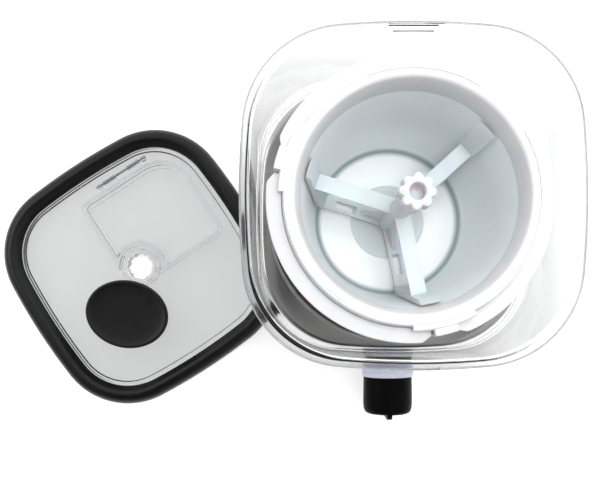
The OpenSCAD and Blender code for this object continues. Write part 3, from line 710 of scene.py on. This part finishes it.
def blade_solids(turn):
    """The solids of one blade, turned into place: arm, scraper along the wall, windowed lower bar, gusset."""
    bottom = FLOOR_Z + 6 * MM
    arm_z = 165 * MM
    half, t = 5.3 * MM, 3 * MM
    arm = block("arm", (4 * MM, -half, arm_z - t), (wall_radius(arm_z) - 3.2 * MM, half, arm_z))
    rib = block("rib", (4 * MM, -t / 2, arm_z - 11 * MM),
                (wall_radius(arm_z) - 3.6 * MM, t / 2, arm_z - 2 * MM))
    foot = MOUTH_R - 12.4 * MM
    mid = wall_radius(FLOOR_Z + 16 * MM) - 1 * MM
    top = wall_radius(SEAT_Z - 3 * MM) - 1 * MM
    rings = []
    for i in range(13):
        y = (-6.5 + 13 * i / 12) * MM

        def at(r, z):
            return (math.sqrt(r * r - y * y), y, z)
        rings.append([at(foot - 3.6 * MM, bottom), at(foot, bottom), at(mid, FLOOR_Z + 16 * MM),
                      at(top, SEAT_Z - 2 * MM), at(top - 0.6 * MM, SEAT_Z + 1 * MM),
                      at(top - 4 * MM, SEAT_Z - 5 * MM), at(mid - 3.4 * MM, FLOOR_Z + 20 * MM)])
    scraper = loft("scraper", rings, caps=(True, True))
    lower = block("lower_bar", (4 * MM, -half, bottom), (foot - 2.4 * MM, half, bottom + t))
    opening = eased([(26 * MM, -2.7 * MM), (42 * MM, -2.7 * MM), (42 * MM, 2.7 * MM), (26 * MM, 2.7 * MM)],
                    0.8 * MM, closed=True)
    window = prism("window", opening, bottom - 1 * MM, bottom + 2 * t)
    combine(lower, [window], "DIFFERENCE")
    gusset = upright("gusset", [(4 * MM, bottom + 1 * MM), (24 * MM, bottom + 1 * MM),
                                (5 * MM, bottom + 30 * MM)], t)
    return [moved(o, turn) for o in (arm, rib, scraper, lower, gusset)]


# ---- knob --------------------------------------------------------------------------------------
def knob_frame(obj):
    """Lays a piece turned about Z along the knob's axis: its height becomes distance towards the front."""
    forwards = Matrix.Rotation(math.pi / 2, 4, "X")
    return moved(obj, Matrix.Translation((KNOB_AXIS.x, 0, KNOB_AXIS.z)) @ forwards)


def build_knob():
    """Cap with a round front edge and a fin that runs over its top and across its front."""
    back, front = -high("knob").y, -low("knob").y
    face = front - 3 * MM
    r = KNOB_R
    cap = lathe("knob_cap", eased([
        (0, back), (r - 2 * MM, back, 0.2 * MM), (r - 2 * MM, back + 2.4 * MM, 0.3 * MM),
        (r - 0.3 * MM, back + 2.4 * MM, 0.5 * MM), (r, face - 6 * MM, 5 * MM),
        (r - 1.6 * MM, face - 1 * MM, 3.5 * MM), (r - 7 * MM, face, 3 * MM), (0, face)
    ], 0.4 * MM, steps=8), steps=144)
    fin = prism("fin", eased([
        (r - 3 * MM, back + 4 * MM), (r + 0.5 * MM, back + 9 * MM, 3 * MM),
        (r + 0.4 * MM, face - 2 * MM, 4 * MM), (r - 3.5 * MM, front, 3 * MM),
        (3.5 * MM - r, front, 3 * MM), (0.5 * MM - r, face - 1 * MM, 2 * MM),
        (4 * MM - r, face - 4 * MM), (r - 6 * MM, face - 4 * MM), (r - 6 * MM, back + 4 * MM)
    ], 0.5 * MM), -2 * MM, 2 * MM)
    settle(ease(fin, 1.5 * MM, 4, 50))
    moved(fin, Matrix(((0, 0, 1, 0), (1, 0, 0, 0), (0, 1, 0, 0), (0, 0, 0, 1))))
    combine(cap, [fin], "UNION")
    shade(cap, 40)
    place(knob_frame(cap), "knob", MAT["black_knob"])


def build_collar():
    """Pale bezel with two fine grooves; its back follows the slanting sheet."""
    front = -low("knob_collar").y
    r = half_width("knob_collar")
    wall = 2.2 * MM

    def ring(radius, y):
        return [(x, z, y) for x, z in circle_points(radius, 144)]

    def against_sheet(radius):
        return [(x, z, skirt_half(KNOB_AXIS.z + z) + 0.5 * MM) for x, z in circle_points(radius, 144)]
    rings = [against_sheet(r)]
    for y in (front - 8 * MM, front - 4.4 * MM):
        rings += [ring(r, y - 0.5 * MM), ring(r - 0.5 * MM, y - 0.35 * MM),
                  ring(r - 0.5 * MM, y + 0.35 * MM), ring(r, y + 0.5 * MM)]
    rings += [ring(r, front - 1 * MM), ring(r - 0.3 * MM, front - 0.3 * MM), ring(r - 1 * MM, front),
              ring(r - wall, front), against_sheet(r - wall)]
    collar = loft("knob_bezel", rings, closed=True)
    place(knob_frame(collar), "knob_collar", MAT["pale_collar"])


# ---- lid ---------------------------------------------------------------------------------------
PANEL_Z = 8 * MM                 # underside of the clear window
PANEL_T = 2.5 * MM
WINDOW_HALF = LID_W / 2 - LID_BAND - 0.4 * MM
SOCKET_R = 14 * MM               # outer radius of the toothed ring above the window
FLAP_GAP = 17.9 * MM             # the flap is cut back to this radius round the socket
FLAP_TOP = 72 * MM               # its edge by the hinge
FLAP_LOW = low("lid_flap").z + 6.8 * MM
HINGE_Y, HINGE_Z = 77 * MM, HINGE["pos_m"][2]
EARS = (6 * MM, 50 * MM)         # where the window's two hinge ears start
OVAL_AT = (-29.5 * MM, -29.5 * MM)
OVAL = (35 * MM, 28.5 * MM)      # half lengths of the oval grip


def lid_corner(half):
    """Corner radius of the lid's outline at a half width."""
    return LID_W * CORNER - (LID_W / 2 - half)


def flatten(obj, area=60e-6):
    """Wide flat faces get their own flat shading, so a softened edge doesn't bend the view through them."""
    for face in obj.data.polygons:
        if face.area > area:
            face.use_smooth = False


def flap_plate(name, shrink, z0, z1):
    """Plate of the flap's outline, shrunk all round: cut back round the socket and the oval grip."""
    left, bottom = -16.5 * MM + shrink, -14.5 * MM + shrink
    right, top = 78 * MM - shrink, FLAP_TOP - shrink
    outline = eased([(left, bottom, 4 * MM), (right, bottom, 9 * MM - shrink), (right, top, 34 * MM - shrink),
                     (left, top, 9 * MM - shrink)], 0, steps=14, closed=True)
    plate = prism(name, outline, z0, z1)
    rx, ry = OVAL[0] + 2 * MM + shrink, OVAL[1] + 2 * MM + shrink
    grip = prism("grip_gap", [(rx * x, ry * y) for x, y in circle_points(1, 96)], z0 - 1 * MM, z1 + 1 * MM)
    grip = moved(grip, Matrix.Translation((*OVAL_AT, 0)) @ Matrix.Rotation(math.radians(-45), 4, "Z"))
    socket = prism("socket_gap", circle_points(FLAP_GAP + shrink, 96), z0 - 1 * MM, z1 + 1 * MM)
    side = block("side_gap", (left - 9 * MM, bottom - 9 * MM, z0 - 1 * MM),
                 (0, 4 * MM + shrink, z1 + 1 * MM))
    front = block("front_gap", (left - 9 * MM, bottom - 9 * MM, z0 - 1 * MM),
                  (4 * MM + shrink, 0, z1 + 1 * MM))
    combine(plate, [socket, grip, side, front], "DIFFERENCE")
    return plate


def build_lid_frame():
    """Soft black gasket of round section with a firm inner edge."""
    h = LID_W / 2
    profile = eased([
        (h - 5 * MM, 0), (h - 1.2 * MM, 1.4 * MM), (h, 7.5 * MM), (h - 1.0 * MM, 12.4 * MM),
        (h - 4.6 * MM, 16 * MM), (h - 8.8 * MM, FRAME_H), (h - 11.8 * MM, 15.8 * MM),
        (h - 14.2 * MM, 13.2 * MM), (h - LID_BAND, 11.2 * MM, 0.8 * MM),
        (h - LID_BAND, 0.6 * MM, 0.4 * MM), (h - 14.4 * MM, 0, 0.5 * MM)
    ], 2.6 * MM, steps=6, closed=True)
    gasket = square_sweep("lid_gasket", profile, lid_corner)
    place(moved(gasket, LID), "lid_frame", MAT["soft_black"])


def build_lid_panel():
    """Clear window with a raised border, hinge ears, the spout and the socket's hole."""
    h, top = WINDOW_HALF, PANEL_Z + PANEL_T
    border = 1.2 * MM
    profile = [
        (h - 0.4 * MM, PANEL_Z), (h, PANEL_Z + 0.4 * MM), (h, top - 0.4 * MM), (h - 0.3 * MM, top),
        (h - 0.7 * MM, top + 0.2 * MM), (h - 0.8 * MM, top + border - 0.3 * MM),
        (h - 1.1 * MM, top + border), (h - 3.2 * MM, top + border), (h - 3.5 * MM, top + border - 0.3 * MM),
        (h - 3.7 * MM, top + 0.3 * MM), (h - 4.1 * MM, top)
    ]
    panel = square_sweep("lid_window", profile, lid_corner, closed=False, caps=(True, True))
    ears = [block("ear", (x, HINGE_Y - 2.6 * MM, top - 0.6 * MM),
                  (x + 4 * MM, HINGE_Y + 1.6 * MM, HINGE_Z + 2.2 * MM)) for x in EARS]
    ears = [settle(ease(e, 0.9 * MM, 3, 40)) for e in ears]
    ring = lathe("socket_rib", [(16.2 * MM, top - 0.6 * MM), (17.4 * MM, top - 0.6 * MM),
                                (17.4 * MM, top + 1.9 * MM), (17.2 * MM, top + 2.1 * MM),
                                (16.4 * MM, top + 2.1 * MM), (16.2 * MM, top + 1.9 * MM)],
                 closed=True, steps=96)
    combine(panel, ears + [ring], "UNION")
    cuts = [flap_plate("spout", 3.6 * MM, 0, 20 * MM),
            prism("socket_hole", circle_points(SOCKET_R + 0.05 * MM, 96), 0, 30 * MM)]
    for turn in range(4):
        notch = block("notch", (-0.5 * MM, h - 4.4 * MM, top + 0.4 * MM),
                      (0.5 * MM, h - 0.4 * MM, top + 3 * MM))
        along = Matrix.Translation((4 * MM * (turn - 1.5), 0, 0))
        cuts.append(moved(notch, Matrix.Rotation(turn * math.pi / 2, 4, "Z") @ along))
    combine(panel, cuts, "DIFFERENCE")
    shade(panel, 28)
    flatten(panel)
    place(moved(panel, LID), "lid_panel", MAT["clear_plastic"])


def build_socket():
    """Clear collar with eight inner teeth."""
    low_z, top_z = low("lid_socket").z, high("lid_socket").z

    def toothed(grow, z):
        points = []
        for i in range(TURN_STEPS):
            a = 2 * math.pi * i / TURN_STEPS
            off = (a + math.pi / 8) % (math.pi / 4) - math.pi / 8
            tooth = 1.1 * MM / (1 + (abs(off) * 11.5 / 1.1) ** 6)
            r = 11.5 * MM - tooth + grow
            points.append((r * math.cos(a), r * math.sin(a), z))
        return points

    def plain(r, z):
        return [(x, y, z) for x, y in circle_points(r)]
    rings = [plain(SOCKET_R + 1.2 * MM, low_z), plain(SOCKET_R + 1.6 * MM, low_z + 0.4 * MM),
             plain(SOCKET_R + 1.6 * MM, PANEL_Z - 0.4 * MM), plain(SOCKET_R + 1.2 * MM, PANEL_Z - 0.05 * MM),
             plain(SOCKET_R, PANEL_Z - 0.05 * MM), plain(SOCKET_R, top_z - 0.7 * MM),
             plain(SOCKET_R - 0.2 * MM, top_z - 0.2 * MM), plain(SOCKET_R - 0.7 * MM, top_z),
             toothed(0.6 * MM, top_z), toothed(0.1 * MM, top_z - 0.4 * MM),
             toothed(0, top_z - 1 * MM), toothed(0, low_z)]
    socket = loft("socket_ring", rings, closed=True, angle=40)
    place(moved(socket, LID), "lid_socket", MAT["clear_plastic"])


def build_oval():
    """Black oval grip: waisted foot, thin bevelled edge and a slightly dished top."""
    top = high("lid_knob").z
    floor = PANEL_Z + PANEL_T
    sections = [(7, floor), (7, floor + 2.6 * MM), (10, floor + 4.2 * MM), (10.4, 19 * MM),
                (8, 20.4 * MM), (2.4, 21.2 * MM), (0.9, 22.2 * MM), (0.15, 23.8 * MM), (0, 25.2 * MM),
                (0.05, 26.4 * MM), (0.35, 27.2 * MM), (0.9, top - 0.25 * MM), (1.6, top),
                (2.3, top - 0.05 * MM), (3.2, top - 0.35 * MM), (6, top - 0.75 * MM),
                (11, top - 1.1 * MM), (17, top - 1.3 * MM), (23, top - 1.4 * MM)]
    rings = []
    for shrink, z in sections:
        rx, ry = OVAL[0] - shrink * MM, OVAL[1] - shrink * MM
        rings.append([(rx * math.cos(a), ry * math.sin(a), z)
                      for a in (2 * math.pi * i / TURN_STEPS for i in range(TURN_STEPS))])
    grip = loft("oval_grip", rings, caps=(True, True), angle=50)
    at = Matrix.Translation((*OVAL_AT, 0)) @ Matrix.Rotation(math.radians(-45), 4, "Z")
    place(moved(grip, LID @ at), "lid_knob", MAT["soft_black"])


def build_flap():
    """Clear filling flap: raised lip round a thin field, a drop skirt and two knuckles."""
    lip_top = FLAP_LOW + 2.8 * MM
    flap = flap_plate("filler_flap", 0, FLAP_LOW, lip_top)
    combine(flap, [flap_plate("field", 1.7 * MM, FLAP_LOW + 1.2 * MM, lip_top + 2 * MM)], "DIFFERENCE")
    flap = settle(ease(flap, 0.35 * MM, 2, 45))
    drop = low("lid_flap").z
    skirt = flap_plate("drop_skirt", 4.2 * MM, drop, FLAP_LOW + 0.6 * MM)
    combine(skirt, [flap_plate("skirt_core", 6 * MM, drop - 1 * MM, FLAP_LOW + 2 * MM)], "DIFFERENCE")

    def on_hinge(rod, x):
        lying = Matrix.Rotation(math.pi / 2, 4, "Y")
        return moved(rod, Matrix.Translation((x, HINGE_Y, HINGE_Z)) @ lying)
    knuckle = 12 * MM
    knuckles = []
    for x in (EARS[0] + 6 * MM, EARS[1] - 14 * MM):
        knuckles.append(block("tab", (x, FLAP_TOP - 1 * MM, FLAP_LOW + 0.1 * MM),
                              (x + knuckle, HINGE_Y, FLAP_LOW + 2 * MM)))
        knuckles.append(on_hinge(prism("barrel", circle_points(1.85 * MM, 32), 0, knuckle), x))
    combine(flap, [skirt] + knuckles, "UNION")
    pin = on_hinge(prism("pin", circle_points(1.05 * MM, 32), 0, 60 * MM), 0)
    combine(flap, [pin], "DIFFERENCE")
    shade(flap, 28)
    flatten(flap)
    place(moved(flap, LID), "lid_flap", MAT["clear_plastic"])


# ---- finishes of the CAD nodes that stay ---------------------------------------------------------
def finish_cad_nodes():
    """Each CAD node gets the material of its slot in the record."""
    for part in frame["record"]["subparts"]:
        obj = frame["nodes"][part["node"]]
        obj.data.materials.clear()
        obj.data.materials.append(MAT[part["material_slot"]])


# ---- floor, light and camera ---------------------------------------------------------------------
def build_floor():
    """Sheet of white paper, lit from below like a light table."""
    mesh = bpy.data.meshes.new("floor")
    size = 6.0
    mesh.from_pydata([(-size, -size, 0), (size, -size, 0), (size, size, 0), (-size, size, 0)], [],
                     [(0, 1, 2, 3)])
    floor = make_object("floor", mesh)
    mat, nt, p = new_material("floor_paper")
    paper = tones(nt, noise(nt, coordinates(nt), 0.25, 3), (0.54, 0.54, 0.54), (0.58, 0.58, 0.58))
    link(nt, paper, p.inputs["Base Color"])
    p.inputs["Emission Color"].default_value = (1, 1, 1, 1)
    p.inputs["Emission Strength"].default_value = 0.55
    link(nt, bump(nt, noise(nt, coordinates(nt), 1.5 * MM, 3), 0.02 * MM), p.inputs["Normal"])
    p.inputs["Roughness"].default_value = 0.8
    mesh.materials.append(mat)


def build_world():
    """White room, with whoever leans over the table and a dark lens overhead."""
    world = bpy.data.worlds.new("studio")
    bpy.context.scene.world = world
    world.use_nodes = True
    nt = world.node_tree
    split = nt.nodes.new("ShaderNodeSeparateXYZ")
    link(nt, nt.nodes.new("ShaderNodeTexCoord").outputs["Generated"], split.inputs[0])
    x, y, z = split.outputs

    def calc(operation, *values):
        n = nt.nodes.new("ShaderNodeMath")
        n.operation = operation
        for socket, v in zip(n.inputs, values):
            if isinstance(v, (int, float)):
                socket.default_value = v
            else:
                link(nt, v, socket)
        return n.outputs[0]

    def step(value, src, lo=0.0, hi=1.0):
        out = spread(nt, value, lo, hi, src)
        out.node.interpolation_type = "SMOOTHSTEP"
        return out
    lean = calc("MULTIPLY_ADD", x, 0.25, y)
    across = calc("ABSOLUTE", calc("ADD", x, 0.08))
    body = calc("MULTIPLY", step(lean, (-0.15, -0.02), 1, 0), step(across, (0.22, 0.5), 1, 0))
    body = calc("MULTIPLY", body, step(z, (0.35, 0.6), 0, 0.95))
    away = calc("SQRT", calc("ADD", calc("POWER", calc("ADD", x, 0.065), 2),
                             calc("POWER", calc("SUBTRACT", y, 0.035), 2)))
    lens = calc("ADD", step(away, (0.04, 0.09), 0.02, 0.45), step(away, (0.09, 0.24), 0, 0.55))
    sides = step(calc("MULTIPLY_ADD", x, 0.5, y), (-0.9, 0.9), 0.26, 0.9)
    level = calc("MULTIPLY", calc("MULTIPLY", calc("SUBTRACT", 1.0, body), lens), sides)
    seen = nt.nodes.new("ShaderNodeLightPath")
    shown = nt.nodes.new("ShaderNodeMix")
    shown.data_type = "FLOAT"
    link(nt, seen.outputs["Is Camera Ray"], shown.inputs["Factor"])
    link(nt, level, shown.inputs["A"])
    shown.inputs["B"].default_value = 1.0
    link(nt, shown.outputs["Result"], nt.nodes["Background"].inputs["Strength"])
    nt.nodes["Background"].inputs["Color"].default_value = (1, 1, 1, 1)


def build_lights():
    """Three soft boxes; only the one on the left is seen in shiny and clear surfaces."""
    for name, at, size, power, aim, shiny in (
        ("key_box", (0.9, 1.0, 1.6), 1.2, 12, (0, 0, 0.15), False),
        ("fill_box", (-1.5, 0.3, 1.3), 1.2, 6, (-0.05, 0, 0.1), True),
        ("top_box", (0.05, 0.05, 1.9), 0.7, 29, (0, 0, 0.1), False),
    ):
        data = bpy.data.lights.new(name, "AREA")
        data.shape, data.size, data.energy = "SQUARE", size, power
        lamp = make_object(name, data)
        lamp.location = at
        lamp.rotation_mode = "QUATERNION"
        lamp.rotation_quaternion = (Vector(aim) - Vector(at)).to_track_quat("-Z", "Y")
        lamp.visible_glossy = shiny
        lamp.visible_transmission = shiny
        lamp.visible_camera = False


CAMERA_AT = (-0.0603, -0.0609, 0.680)
CAMERA_SHIFT = (-0.0167, 0.0817)  # shares of the frame's width


def build_camera():
    """Straight down from above the front left of the machine, framed a little off the middle."""
    data = bpy.data.cameras.new("camera")
    data.sensor_width = 36
    data.lens = 46.56
    data.shift_x, data.shift_y = CAMERA_SHIFT
    camera = make_object("camera", data)
    camera.location = CAMERA_AT
    bpy.context.scene.camera = camera


build_clear_case()
build_skirt()
build_feet()
build_liner()
build_flange()
build_rim()
build_dasher()
build_knob()
build_collar()
build_lid_frame()
build_lid_panel()
build_socket()
build_oval()
build_flap()
finish_cad_nodes()
build_floor()
build_world()
build_lights()
build_camera()
bpy.context.scene.view_settings.view_transform = "Standard"
